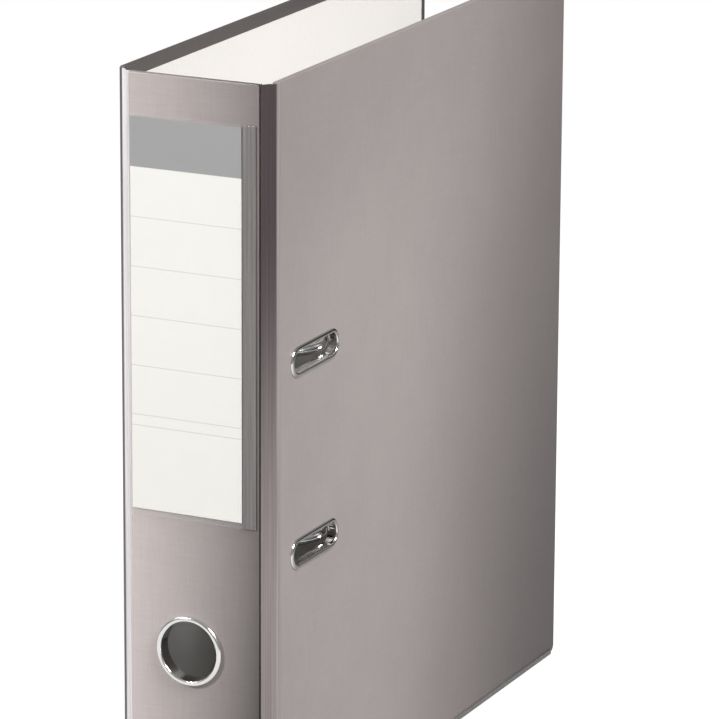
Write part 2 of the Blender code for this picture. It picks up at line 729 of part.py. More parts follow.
pivot_profile = pin_profile(PIVOT_R, PIVOT_PIN_HALF)
pivot_pin = turned("lever_pivot_pin", pivot_profile, (PIVOT_X, PIVOT_Y, MECH_Z), UPRIGHT, 24)
finish(pivot_pin, RIVET_METAL)
roller_x, roller_y = on_lever([(ROLLER_OFF, ROLLER_ARM)])[0]
roller_pin_profile = pin_profile(ROLLER_PIN_R, ROLLER_PIN_HALF)
roller_pin = turned("roller_pin", roller_pin_profile, (roller_x, roller_y, MECH_Z), UPRIGHT, 20)
finish(roller_pin, RIVET_METAL, LEVER_AXIS)
ROLLER_EDGE = 0.0004
roller_profile = [
    (ROLLER_BORE_R, ROLLER_HALF),
    (ROLLER_R - ROLLER_EDGE, ROLLER_HALF),
    (ROLLER_R, ROLLER_HALF - ROLLER_EDGE),
    (ROLLER_R, ROLLER_EDGE - ROLLER_HALF),
    (ROLLER_R - ROLLER_EDGE, -ROLLER_HALF),
    (ROLLER_BORE_R, -ROLLER_HALF),
]
roller = turned("roller", roller_profile, (roller_x, roller_y, MECH_Z), UPRIGHT, 28, closed=True)
finish(roller, BLACK_PLASTIC, LEVER_AXIS)

# Compressor bar: a shallow channel with a plastic bush on each post.
bar_low = AXIS_X + BAR_LIFT
bar_outline = rounded(
    POST_Y - BAR_HALF_Y, POST_Y + BAR_HALF_Y, MECH_Z - BAR_HALF_Z, MECH_Z + BAR_HALF_Z,
    (BAR_CORNER_R,) * 4, 5,
)
bar_holes = [circle(POST_Y, z, BAR_HOLE_R, 24) for z in POST_SPOTS.values()]
compressor_bar = prism("compressor_bar", "YZ", [bar_outline] + bar_holes, bar_low, bar_low + BAR_H)
trough = prism(
    "bar_trough", "YZ",
    [rounded(
        POST_Y - BAR_HALF_Y + BAR_T, POST_Y + BAR_HALF_Y - BAR_T,
        MECH_Z - BAR_HALF_Z + BAR_T, MECH_Z + BAR_HALF_Z - BAR_T, (BAR_CORNER_R - BAR_T,) * 4, 5,
    )],
    bar_low + BAR_T, bar_low + BAR_H + 0.002, CUTTERS,
)
trough.parent = BAR_AXIS
trough.location = trough.location - BAR_AXIS.location
cut(compressor_bar, trough)
finish(compressor_bar, PLATE_METAL, BAR_AXIS)
bush_top = bar_low + BAR_T + BUSH_T
bush_profile = [
    (POST_R + GAP, bush_top),
    (BUSH_R - 0.0003, bush_top),
    (BUSH_R, bush_top - 0.0003),
    (BUSH_R, bar_low + BAR_T + GAP),
    (BUSH_NECK_R, bar_low + BAR_T + GAP),
    (BUSH_NECK_R, bar_low - BUSH_FOOT),
    (POST_R + GAP, bar_low - BUSH_FOOT),
]
for level, z in POST_SPOTS.items():
    bush = turned("bar_bush_" + level, bush_profile, (0, POST_Y, z), TO_X, 24, closed=True)
    finish(bush, BLACK_PLASTIC, BAR_AXIS)
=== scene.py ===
"""Looks of the lever arch file: finishes for its boards and finer pieces for its hardware.

Everything is in metres in the frame's own axes: X across the spine, Y from the spine to the fore
edge, Z up. MM turns the small sizes, written in millimetres, into metres.
"""

import math

import bmesh
import bpy
from mathutils import Matrix, Vector


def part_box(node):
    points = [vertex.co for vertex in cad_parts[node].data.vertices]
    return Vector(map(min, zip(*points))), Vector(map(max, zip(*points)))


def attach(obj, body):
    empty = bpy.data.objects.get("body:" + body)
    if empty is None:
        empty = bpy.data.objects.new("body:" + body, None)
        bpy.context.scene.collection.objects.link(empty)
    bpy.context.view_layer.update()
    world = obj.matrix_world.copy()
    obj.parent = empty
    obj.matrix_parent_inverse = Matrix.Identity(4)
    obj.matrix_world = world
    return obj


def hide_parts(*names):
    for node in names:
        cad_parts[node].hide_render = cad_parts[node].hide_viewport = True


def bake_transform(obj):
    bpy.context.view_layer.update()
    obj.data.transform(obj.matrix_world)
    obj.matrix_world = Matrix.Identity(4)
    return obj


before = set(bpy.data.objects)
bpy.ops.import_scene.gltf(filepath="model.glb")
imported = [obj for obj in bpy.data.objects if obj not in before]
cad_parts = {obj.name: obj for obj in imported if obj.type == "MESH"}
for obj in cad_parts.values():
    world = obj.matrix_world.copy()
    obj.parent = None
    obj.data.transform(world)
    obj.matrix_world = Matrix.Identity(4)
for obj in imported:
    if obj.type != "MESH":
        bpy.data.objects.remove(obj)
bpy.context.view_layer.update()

MM = 0.001
SCENE = bpy.context.scene

COVER_LOW, COVER_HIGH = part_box("front_cover")
SPINE_LOW, SPINE_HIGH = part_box("spine_board")
LABEL_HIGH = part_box("label_card")[1]
POCKET_LOW, POCKET_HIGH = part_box("label_pocket")
PLATE_LOW, PLATE_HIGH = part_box("base_plate")
MECH_Z = (PLATE_LOW.z + PLATE_HIGH.z) / 2


# ---------------------------------------------------------------- camera, light and floor

CAMERA_AT = Vector((0.8624, -1.7792, 0.7156))
CAMERA_YAW = math.radians(25.731)
CAMERA_PITCH = math.radians(15.459)
CAMERA_ROLL = math.radians(0.308)
CAMERA_LENS = 242.59
SENSOR_WIDTH = 36


def place_camera():
    """Long lens above the file's front right corner, looking down at the spine."""
    ahead = Vector((
        -math.sin(CAMERA_YAW) * math.cos(CAMERA_PITCH),
        math.cos(CAMERA_YAW) * math.cos(CAMERA_PITCH),
        -math.sin(CAMERA_PITCH),
    ))
    level = Vector((math.cos(CAMERA_YAW), math.sin(CAMERA_YAW), 0))
    above = level.cross(ahead)
    right = math.cos(CAMERA_ROLL) * level + math.sin(CAMERA_ROLL) * above
    up = math.cos(CAMERA_ROLL) * above - math.sin(CAMERA_ROLL) * level
    data = bpy.data.cameras.new("camera")
    data.lens = CAMERA_LENS
    data.sensor_width = SENSOR_WIDTH
    data.clip_start = 0.05
    camera = bpy.data.objects.new("camera", data)
    turn = Matrix((right, up, -ahead)).transposed().to_4x4()
    camera.matrix_world = Matrix.Translation(CAMERA_AT) @ turn
    SCENE.collection.objects.link(camera)
    SCENE.camera = camera


def soft_box(name, place, aim, size, power):
    """Square studio light that faces a point."""
    data = bpy.data.lights.new(name, "AREA")
    data.shape = "SQUARE"
    data.size = size
    data.energy = power
    light = bpy.data.objects.new(name, data)
    light.location = place
    light.rotation_euler = (Vector(aim) - Vector(place)).to_track_quat("-Z", "Y").to_euler()
    light.visible_camera = False
    SCENE.collection.objects.link(light)


def add(tree, kind, attributes=None, inputs=None):
    """New shader node with its settings, values and incoming links."""
    made = tree.nodes.new(kind)
    for key, value in (attributes or {}).items():
        setattr(made, key, value)
    for key, value in (inputs or {}).items():
        socket = made.inputs[key]
        if isinstance(value, bpy.types.NodeSocket):
            tree.links.new(value, socket)
        else:
            socket.default_value = value
    return made


CAST_IN_FRONT = 0.30
CAST_LOSS_BEHIND = 0.28


def studio_world():
    """White surroundings for the camera. The light they cast is soft in front and dark behind."""
    world = bpy.data.worlds.new("studio")
    world.use_nodes = True
    tree = world.node_tree
    tree.nodes.clear()
    seen = add(tree, "ShaderNodeBackground", None, {"Color": (1, 1, 1, 1), "Strength": 1.0})
    direction = add(tree, "ShaderNodeTexCoord").outputs["Generated"]
    ahead = add(tree, "ShaderNodeSeparateXYZ", None, {0: direction})
    behind = add(tree, "ShaderNodeMapRange", {"interpolation_type": "SMOOTHSTEP"}, {
        "Value": ahead.outputs["Y"], "From Min": -0.3, "From Max": 0.35,
        "To Min": 0.0, "To Max": -CAST_LOSS_BEHIND,
    })
    low = add(tree, "ShaderNodeMapRange", {"interpolation_type": "SMOOTHSTEP"}, {
        "Value": ahead.outputs["Z"], "From Min": 0.05, "From Max": 0.4, "To Min": 1.0, "To Max": 0.3,
    })
    level = add(tree, "ShaderNodeMath", {"operation": "MULTIPLY_ADD"}, {
        0: behind.outputs[0], 1: low.outputs[0], 2: CAST_IN_FRONT,
    })
    cast = add(tree, "ShaderNodeBackground", None, {
        "Color": (1, 0.99, 0.98, 1), "Strength": level.outputs[0],
    })
    ray = add(tree, "ShaderNodeLightPath")
    both = add(tree, "ShaderNodeMixShader", None, {
        0: ray.outputs["Is Camera Ray"], 1: cast.outputs[0], 2: seen.outputs[0],
    })
    add(tree, "ShaderNodeOutputWorld", None, {"Surface": both.outputs[0]})
    SCENE.world = world


FLOOR_REACH = 1.4
FLOOR_SIDES = 96
FLOOR_PAINT = (0.28, 0.28, 0.28, 1)
FLOOR_GLOW = 0.78


def lay_floor():
    """Wide floor, pale by its own glow. Metal mirrors that glow only in front of the file."""
    mesh = bpy.data.meshes.new("floor")
    corners = []
    for i in range(FLOOR_SIDES):
        angle = 2 * math.pi * i / FLOOR_SIDES
        corners.append((FLOOR_REACH * math.cos(angle), FLOOR_REACH * math.sin(angle), 0))
    mesh.from_pydata(corners, [], [tuple(range(FLOOR_SIDES))])
    floor = bpy.data.objects.new("floor", mesh)
    paint = bpy.data.materials.new("floor_paint")
    paint.use_nodes = True
    tree = paint.node_tree
    shader = tree.nodes["Principled BSDF"]
    shader.inputs["Base Color"].default_value = FLOOR_PAINT
    shader.inputs["Roughness"].default_value = 0.95
    ray = add(tree, "ShaderNodeLightPath")
    glow = add(tree, "ShaderNodeEmission", None, {"Color": (1, 1, 1, 1), "Strength": FLOOR_GLOW})
    unlit = add(tree, "ShaderNodeBsdfTransparent", None, {"Color": (0, 0, 0, 1)})
    place = add(tree, "ShaderNodeTexCoord").outputs["Object"]
    along = add(tree, "ShaderNodeSeparateXYZ", None, {0: place})
    front = add(tree, "ShaderNodeMapRange", {"interpolation_type": "SMOOTHSTEP"}, {
        "Value": along.outputs["Y"], "From Min": -0.25, "From Max": 0.05,
        "To Min": 0.6, "To Max": 0.0,
    })
    mirrored = add(tree, "ShaderNodeMath", {"operation": "MULTIPLY_ADD", "use_clamp": True}, {
        0: ray.outputs["Is Glossy Ray"], 1: front.outputs[0], 2: ray.outputs["Is Camera Ray"],
    })
    seen = add(tree, "ShaderNodeMixShader", None, {
        0: mirrored.outputs[0], 1: unlit.outputs[0], 2: glow.outputs[0],
    })
    both = add(tree, "ShaderNodeAddShader", None, {0: shader.outputs[0], 1: seen.outputs[0]})
    tree.links.new(both.outputs[0], tree.nodes["Material Output"].inputs["Surface"])
    mesh.materials.append(paint)
    SCENE.collection.objects.link(floor)


place_camera()
studio_world()
lay_floor()
SCENE.view_settings.view_transform = "Standard"
soft_box("key_left", (-1.0, -1.35, 1.15), (0, -0.14, 0.16), 0.25, 26)
soft_box("high_right", (1.5, -0.5, 1.6), (0, 0, 0.2), 0.8, 51)
soft_box("high_left", (-1.5, 0.1, 1.5), (0, 0, 0.2), 0.8, 10)


# ---------------------------------------------------------------- finishes


class Finish:
    """Procedural material of one surface, built up from named node steps."""

    def __init__(self, slot, name, roughness, metallic=0.0):
        self.slot = slot
        self.material = bpy.data.materials.new(name)
        self.material.use_nodes = True
        self.tree = self.material.node_tree
        self.shader = self.tree.nodes["Principled BSDF"]
        self.shader.inputs["Roughness"].default_value = roughness
        self.shader.inputs["Metallic"].default_value = metallic
        self.place = add(self.tree, "ShaderNodeTexCoord").outputs["Object"]
        self.axes = add(self.tree, "ShaderNodeSeparateXYZ", None, {0: self.place})

    def math(self, operation, first, second=0.0, third=0.0):
        """One arithmetic step on numbers or sockets."""
        step = add(self.tree, "ShaderNodeMath", {"operation": operation}, {
            0: first, 1: second, 2: third,
        })
        return step.outputs[0]

    def spread(self, value, low, high, to_low, to_high, smooth=True):
        """Number from to_low to to_high as value goes from low to high."""
        kind = "SMOOTHSTEP" if smooth else "LINEAR"
        step = add(self.tree, "ShaderNodeMapRange", {"interpolation_type": kind}, {
            "Value": value, "From Min": low, "From Max": high, "To Min": to_low, "To Max": to_high,
        })
        return step.outputs[0]

    def noise(self, waves, detail=3.0, rough=0.5):
        """Noise with its own number of waves per metre along each axis."""
        stretched = add(self.tree, "ShaderNodeMapping", None, {"Vector": self.place, "Scale": waves})
        field = add(self.tree, "ShaderNodeTexNoise", None, {
            "Vector": stretched.outputs[0], "Scale": 1.0, "Detail": detail, "Roughness": rough,
        })
        return field.outputs["Fac"]

    def vary(self, noise, to_low, to_high, reach=0.2):
        """Number from to_low to to_high as a noise crosses most of its range about one half."""
        return self.spread(noise, 0.5 - reach, 0.5 + reach, to_low, to_high)

    def tint(self, colour, factor):
        """Colour made lighter or darker by a factor."""
        scaled = add(self.tree, "ShaderNodeVectorMath", {"operation": "SCALE"}, {
            0: colour, "Scale": factor,
        })
        return scaled.outputs[0]

    def between(self, share, first, second):
        """Mix of two colours."""
        mix = add(self.tree, "ShaderNodeMix", {"data_type": "RGBA"}, {0: share})
        for socket, value in ((mix.inputs[6], first), (mix.inputs[7], second)):
            if isinstance(value, bpy.types.NodeSocket):
                self.tree.links.new(value, socket)
            else:
                socket.default_value = (*value, 1)
        return mix.outputs[2]

    def colour(self, value):
        """Set the surface's colour."""
        if isinstance(value, bpy.types.NodeSocket):
            self.tree.links.new(value, self.shader.inputs["Base Color"])
        else:
            self.shader.inputs["Base Color"].default_value = (*value, 1)

    def feed(self, socket, value):
        """Drive a shader input that varies over the surface."""
        self.tree.links.new(value, self.shader.inputs[socket])

    def bump(self, height, depth, strength):
        """Fine relief of the given depth."""
        relief = add(self.tree, "ShaderNodeBump", None, {
            "Height": height, "Distance": depth, "Strength": strength,
        })
        self.tree.links.new(relief.outputs[0], self.shader.inputs["Normal"])


def linen(finish):
    """Embossed cloth pattern of the covering film: fine threads both ways."""
    across = finish.noise((90, 90, 1500), 2.0)
    upright = finish.noise((1500, 1500, 90), 2.0)
    return finish.math("ADD", across, upright)


THREAD_SHADE = 0.13


def covering_film(name, slot, base, painted_shading):
    """Satin film of the boards. Its last argument gives a factor of painted light and shade on the
    colour, from the finish's own axes.
    """
    made = Finish(slot, name, 0.42)
    threads = linen(made)
    cloud = made.noise((14, 14, 14), 4.0, 0.6)
    factor = made.math("MULTIPLY_ADD", threads, THREAD_SHADE, 1 - THREAD_SHADE)
    factor = made.math("MULTIPLY", factor, made.vary(cloud, 0.97, 1.03))
    # Painted light and shade multiplied into the film's colour.
    factor = made.math("MULTIPLY", factor, painted_shading(made))
    made.colour(made.tint(base, factor))
    made.feed("Roughness", made.vary(cloud, 0.38, 0.46))
    made.bump(threads, 0.06 * MM, 0.55)
    return made


FILM_GREY = (0.335, 0.297, 0.290)


def front_painted_shading(made):
    """Painted light and shade on the front cover: lightest a third of the way back, darker towards
    the spine, the fore edge and the far lower corner, with a painted change along the top and darker
    turned-in film.
    """
    along = made.axes.outputs["Y"]
    level = made.axes.outputs["Z"]
    back = made.spread(along, -0.030, 0.170, 1.14, 0.54)
    near = made.spread(along, COVER_LOW.y, -0.040, 0.92, 1.0)
    far = made.spread(along, -0.060, 0.110, 0.0, 1.0)
    low = made.spread(level, 0.02, 0.26, 1.0, 0.0)
    high = made.spread(level, 0.20, COVER_HIGH.z, 0.0, 1.0)
    # Painted shade towards the far lower corner; along the top, painted shade near the spine and
    # painted light near the fore edge.
    foot = made.math("MULTIPLY_ADD", made.math("MULTIPLY", far, low), -0.32, 1.0)
    head = made.math("MULTIPLY", high, made.math("MULTIPLY_ADD", far, 0.25, -0.15))
    # Painted shade: the turned-in film inside the cover is painted darker than the outer face.
    inner = made.math("LESS_THAN", made.axes.outputs["X"], COVER_HIGH.x - 0.4 * MM)
    factor = made.math("MULTIPLY", made.math("MULTIPLY", back, near), made.math("ADD", foot, head))
    return made.math("MULTIPLY", factor, made.math("MULTIPLY_ADD", inner, -0.15, 1.0))


def back_painted_shading(made):
    """Painted shade: the back cover's turned-in film and edges are painted darker than its outer
    face.
    """
    outer = made.math("LESS_THAN", made.axes.outputs["X"], -COVER_HIGH.x + 0.2 * MM)
    return made.spread(outer, 0.0, 1.0, 0.24, 1.0)


def spine_painted_shading(made):
    """Painted light and shade on the spine: lightest at its rear edge, most of all near its foot, a
    little darker at its front edge and darker along its top.
    """
    share = made.spread(made.axes.outputs["X"], SPINE_LOW.x, SPINE_HIGH.x, 0.0, 1.0, False)
    level = made.axes.outputs["Z"]
    slope = made.spread(level, 0.03, 0.30, -1.46, -0.70, False)
    start = made.spread(level, 0.10, 0.30, 1.72, 1.42, False)
    edge = made.math("MULTIPLY", made.math("POWER", share, 8.0), -0.10)
    factor = made.math("ADD", made.math("MULTIPLY_ADD", share, slope, start), edge)
    # Painted shade along the spine's top edge.
    head = made.spread(level, SPINE_HIGH.z - 0.7 * MM, SPINE_HIGH.z - 0.2 * MM, 1.0, 0.45)
    return made.math("MULTIPLY", factor, head)


# One film in three copies, each with its own painted light and shade.
FRONT_FILM = covering_film("cover_film_front", "cover_film", FILM_GREY, front_painted_shading)
BACK_FILM = covering_film("cover_film_back", "cover_film", FILM_GREY, back_painted_shading)
SPINE_FILM = covering_film("spine_film_grey", "spine_film", FILM_GREY, spine_painted_shading)


def hinge_finish(name, side, top, foot, rim, fold):
    """Smooth film in a hinge groove, with the drawn streaks of its bending. Its colour holds painted
    light and shade: a tone at the top blending into one at the foot, and a painted strip at the
    cover's edge.
    """
    made = Finish("hinge_film", name, 0.34)
    streaks = made.noise((2600, 2600, 12), 2.0)
    # Painted light and shade: the tone changes from the foot to the top.
    share = made.spread(made.axes.outputs["Z"], 0.10, 0.27, 0.0, 1.0)
    base = made.between(share, foot, top)
    # Painted strip where the film meets the cover: painted highlight on the front film, painted
    # shadow on the rear one.
    across = made.math("MULTIPLY", made.axes.outputs["X"], side)
    edge = made.spread(across, *fold, 0.0, 1.0)
    base = made.between(edge, base, rim)
    made.colour(made.tint(base, made.vary(streaks, 0.8, 1.2, 0.25)))
    made.bump(streaks, 0.05 * MM, 0.5)
    return made


# Front groove: painted shade, darkest at the top, with a painted highlight on the strip over the
# cover's edge.
FRONT_GROOVE = hinge_finish(
    "hinge_film_front_painted_shade", 1.0, (0.052, 0.038, 0.041), (0.25, 0.215, 0.21), (0.31, 0.275, 0.28),
    (COVER_HIGH.x - 0.7 * MM, COVER_HIGH.x - 0.1 * MM),
)
# Rear groove: the same film painted light as a highlight, with a painted shadow in the crease at the
# cover's edge.
REAR_GROOVE = hinge_finish(
    "hinge_film_rear_painted_highlight", -1.0, (0.76, 0.73, 0.74), (0.72, 0.69, 0.70), (0.11, 0.10, 0.10),
    (COVER_HIGH.x - 2.0 * MM, COVER_HIGH.x - 1.3 * MM),
)


def paper(name, slot, base):
    """Matt paper with a faint fibre."""
    made = Finish(slot, name, 0.82)
    fibres = made.noise((700, 700, 500), 4.0, 0.65)
    cloud = made.noise((20, 20, 20), 2.0)
    factor = made.math("MULTIPLY", made.vary(fibres, 0.97, 1.0), made.vary(cloud, 0.985, 1.0))
    made.colour(made.tint(base, factor))
    made.bump(fibres, 0.03 * MM, 0.4)
    return made


LINING = paper("lining_paper_cream", "lining_paper", (0.765, 0.742, 0.716))

HEADER = 20.3 * MM
ROW = 20.3 * MM
ROWS = 5
STRIP = 4.5 * MM
RULE = 0.16 * MM
CARD_WHITE = (0.84, 0.828, 0.785)
HEADER_GREY = (0.292, 0.293, 0.291)
RULE_GREY = (0.45, 0.45, 0.44)


def label_finish():
    """Printed card: a grey header, ruled rows and a narrow strip under them."""
    made = Finish("label_card", "label_card_printed", 0.6)
    level = made.axes.outputs["Z"]
    fibres = made.noise((600, 600, 600), 3.0, 0.6)
    lines = [LABEL_HIGH.z - HEADER - ROW * (i + 1) for i in range(ROWS)]
    lines.append(lines[-1] - STRIP)
    ink = 0.0
    for line in lines:
        ink = made.math("ADD", ink, made.math("COMPARE", level, line, RULE))
    header = made.math("GREATER_THAN", level, LABEL_HIGH.z - HEADER)
    white = made.tint(CARD_WHITE, made.vary(fibres, 0.985, 1.0))
    ruled = made.between(made.math("MULTIPLY", ink, 0.55), white, RULE_GREY)
    made.colour(made.between(header, ruled, HEADER_GREY))
    made.bump(fibres, 0.02 * MM, 0.3)
    return made


LABEL = label_finish()


def pocket_finish():
    """Clear soft film that only shows as a faint gloss."""
    made = Finish("pocket_film", "pocket_film_clear", 0.12)
    waves = made.noise((30, 30, 9), 2.0)
    made.colour(made.tint((0.9, 0.91, 0.92), made.vary(waves, 0.96, 1.0)))
    made.shader.inputs["Alpha"].default_value = 0.04
    made.shader.inputs["Specular IOR Level"].default_value = 0.6
    made.bump(waves, 0.4 * MM, 0.15)
    return made


def weld_finish():
    """Welded margin of the pocket, grey where film lies on film."""
    made = Finish("pocket_film", "pocket_film_welded", 0.3)
    grain = made.noise((1800, 1800, 25), 2.0)
    made.colour(made.tint((0.185, 0.172, 0.168), made.vary(grain, 0.85, 1.15, 0.25)))
    made.bump(grain, 0.03 * MM, 0.5)
    return made


POCKET = pocket_finish()
WELD = weld_finish()


def metal(name, slot, colour, roughness, grain=(400, 400, 400), wear=0.06):
    """Plated steel with faint drawing marks and a little wear."""
    made = Finish(slot, name, roughness, 1.0)
    marks = made.noise(grain, 3.0)
    blotches = made.noise((60, 60, 60), 4.0, 0.6)
    made.colour(made.tint(colour, made.vary(blotches, 1 - wear, 1.0)))
    made.feed("Roughness", made.vary(marks, roughness * 0.8, roughness * 1.25))
    made.bump(marks, 0.01 * MM, 0.3)
    return made


RING_METAL = metal("ring_metal_nickel", "ring_metal", (0.86, 0.85, 0.84), 0.16)
EYELET_METAL = metal("eyelet_metal_nickel", "eyelet_metal", (0.82, 0.80, 0.79), 0.12)
RAIL_METAL = metal("rail_metal_zinc", "rail_metal", (0.60, 0.59, 0.58), 0.28, (60, 60, 1500))
PLATE_METAL = metal("plate_metal_zinc", "plate_metal", (0.66, 0.67, 0.68), 0.3, (900, 900, 60), 0.1)
WIRE_METAL = metal("wire_metal_nickel", "wire_metal", (0.84, 0.84, 0.84), 0.13)
RIVET_METAL = metal("rivet_metal_steel", "rivet_metal", (0.62, 0.61, 0.60), 0.26)


def plastic(name, slot, colour, roughness):
    """Moulded plastic with a fine spark-eroded grain."""
    made = Finish(slot, name, roughness)
    grain = made.noise((2500, 2500, 2500), 2.0)
    made.colour(made.tint(colour, made.vary(grain, 0.85, 1.15)))
    made.bump(grain, 0.02 * MM, 0.6)
    return made


BLACK_PLASTIC = plastic("black_plastic_grained", "black_plastic", (0.022, 0.022, 0.023), 0.42)

NODE_FINISHES = {
    "front_cover": FRONT_FILM,
    "back_cover": BACK_FILM,
    "spine_board": SPINE_FILM,
    "back_lining": LINING,
    "spine_lining": LINING,
    "front_lining": LINING,
    "label_card": LABEL,
    "base_plate": PLATE_METAL,
    "leaf_spring": PLATE_METAL,
    "lever_bracket": PLATE_METAL,
    "lever_arm": WIRE_METAL,
}
for node, finish in NODE_FINISHES.items():
    for material_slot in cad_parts[node].material_slots:
        material_slot.material = finish.material


# ---------------------------------------------------------------- shaping


def arc(centre_a, centre_b, radius, start, end, steps):
    """Points along an arc, angles in degrees."""
    points = []
    for i in range(steps + 1):
        angle = math.radians(start + (end - start) * i / steps)
        points.append((centre_a + radius * math.cos(angle), centre_b + radius * math.sin(angle)))
    return points


def stadium(centre_a, centre_b, length, height, steps=24):
    """Outline with straight sides along a and round ends."""
    radius = height / 2
    reach = length / 2 - radius
    points = arc(centre_a + reach, centre_b, radius, -90, 90, steps)
    points.extend(arc(centre_a - reach, centre_b, radius, 90, 270, steps))
    return points


def rounded_box(a0, a1, b0, b1, radius, steps=6):
    """Rectangle outline with round corners."""
    points = []
    for a, b, start in ((a1, b0, -90), (a1, b1, 0), (a0, b1, 90), (a0, b0, 180)):
        centre_a = a - radius if a == a1 else a + radius
        centre_b = b - radius if b == b1 else b + radius
        points.extend(arc(centre_a, centre_b, radius, start, start + 90, steps))
    return points


def softened(points, rounds=2):
    """Open line with its corners cut again and again until it runs smoothly."""
    line = [Vector(p) for p in points]
    for _ in range(rounds):
        smooth = [line[0]]
        for first, second in zip(line, line[1:]):
            smooth.extend((first.lerp(second, 0.25), first.lerp(second, 0.75)))
        smooth.append(line[-1])
        line = smooth
    return line


def lofted(name, rings, closed=False):
    """Surface through rings of equally many points, with its ends capped or joined."""
    mesh = bpy.data.meshes.new(name)
    body = bmesh.new()
    rows = [[body.verts.new(point) for point in ring] for ring in rings]
    pairs = list(zip(rows, rows[1:]))
    if closed:
        pairs.append((rows[-1], rows[0]))
    for row, after in pairs:
        for i, corner in enumerate(row):
            beside = (i + 1) % len(row)
            body.faces.new((corner, row[beside], after[beside], after[i]))
    if not closed:
        body.faces.new(rows[0][::-1])
        body.faces.new(rows[-1])
    bmesh.ops.recalc_face_normals(body, faces=body.faces)
    body.to_mesh(mesh)
    body.free()
    return mesh


# Turns from an outline's own axes: out of the spine's face, along X, or left as it is.
TO_SPINE = Matrix(((1, 0, 0), (0, 0, -1), (0, 1, 0)))
TO_X = Matrix(((0, 0, 1), (1, 0, 0), (0, 1, 0)))
UPRIGHT = Matrix.Identity(3)


def turned(name, profile, centre, turn, steps=72):
    """Closed profile of (radius, height) swept about an axis through centre."""
    rings = []
    for i in range(steps):
        angle = 2 * math.pi * i / steps
        ring = []
        for radius, height in profile:
            spot = Vector((radius * math.cos(angle), radius * math.sin(angle), height))
            ring.append(Vector(centre) + turn @ spot)
        rings.append(ring)
    mesh = lofted(name, rings, closed=True)
    body = bmesh.new()
    body.from_mesh(mesh)
    bmesh.ops.remove_doubles(body, verts=body.verts, dist=0.000002)
    bmesh.ops.dissolve_degenerate(body, edges=body.edges, dist=0.000001)
    bmesh.ops.recalc_face_normals(body, faces=body.faces)
    body.to_mesh(mesh)
    body.free()
    return mesh


def swept(name, path, radii, sides=20):
    """Round bar along a path, with its own radius at each point."""
    points = [Vector(p) for p in path]
    ahead = [(b - a).normalized() for a, b in zip(points, points[1:])]
    ahead.append(ahead[-1])
    side = ahead[0].orthogonal().normalized()
    rings = []
    for i, (point, radius) in enumerate(zip(points, radii)):
        along = (ahead[max(i - 1, 0)] + ahead[i]).normalized()
        side = (side - along * side.dot(along)).normalized()
        over = along.cross(side)
        ring = []
        for k in range(sides):
            angle = 2 * math.pi * k / sides
            ring.append(point + radius * (math.cos(angle) * side + math.sin(angle) * over))
        rings.append(ring)
    return lofted(name, rings)


def slab(name, loops, turn, low, high):
    """Flat outlines, the first outside and the others holes, given thickness from low to high."""
    curve = bpy.data.curves.new(name + "_outline", "CURVE")
    curve.dimensions = "2D"
    curve.fill_mode = "BOTH"
    curve.extrude = (high - low) / 2
    for loop in loops:
        spline = curve.splines.new("POLY")
        spline.points.add(len(loop) - 1)
        for point, (a, b) in zip(spline.points, loop):
            point.co = (a, b, 0, 1)
        spline.use_cyclic_u = True
    outline = bpy.data.objects.new(name + "_outline", curve)
    SCENE.collection.objects.link(outline)
    bpy.context.view_layer.update()
    mesh = bpy.data.meshes.new_from_object(outline)
    bpy.data.objects.remove(outline, do_unlink=True)
    body = bmesh.new()
    body.from_mesh(mesh)
    bmesh.ops.remove_doubles(body, verts=body.verts, dist=0.000001)
    body.transform(turn.to_4x4() @ Matrix.Translation((0, 0, (low + high) / 2)))
    bmesh.ops.recalc_face_normals(body, faces=body.faces)
    body.to_mesh(mesh)
    body.free()
    return mesh


BEVEL_STEPS = 3
BEVEL_ANGLE = 40


def piece(name, mesh, finish, nodes=(), body=None, sharp=35, edge=0.0):
    """Shown piece with its finish, on its body, standing for the CAD nodes that it replaces."""
    mesh.name = name
    mesh.shade_smooth()
    mesh.set_sharp_from_angle(angle=math.radians(sharp))
    mesh.materials.clear()
    mesh.materials.append(finish.material)
    made = bpy.data.objects.new(name, mesh)
    SCENE.collection.objects.link(made)
    if edge:
        rounding = made.modifiers.new("rounding", "BEVEL")
        rounding.width = edge
        rounding.segments = BEVEL_STEPS
        rounding.limit_method = "ANGLE"
        rounding.angle_limit = math.radians(BEVEL_ANGLE)
        rounding.harden_normals = True
    if nodes:
        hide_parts(*nodes)
    if body:
        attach(made, body)
    return made


def middle(node):
    """Centre of a CAD node's box."""
    low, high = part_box(node)
    return (low + high) / 2


# ---------------------------------------------------------------- spine


def finger_ring():
    """Nickel ring with a rolled lip and a sleeve through the spine."""
    low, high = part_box("finger_ring")
    centre = Vector((middle("finger_ring").x, SPINE_LOW.y, middle("finger_ring").z))
    outer = (high.x - low.x) / 2
    bore = outer - 2.2 * MM
    proud = SPINE_LOW.y - low.y + 0.4 * MM
    depth = high.y - SPINE_LOW.y
    sleeve = bore + 0.6 * MM
    lip = 0.8 * MM
    bead = 1.1 * MM
    undercut = -42
    seat = 0.05 * MM
    profile = arc(bore + lip, proud - lip, lip, 180, 90, 8)
    profile.extend(arc(outer - bead, proud - bead, bead, 90, undercut, 14))
    profile.extend([(sleeve, seat), (sleeve, -depth), (bore, -depth)])
    mesh = turned("ring", profile, centre, TO_SPINE, 120)
    piece("finger_ring_rolled", mesh, RING_METAL, ["finger_ring"], "spine")


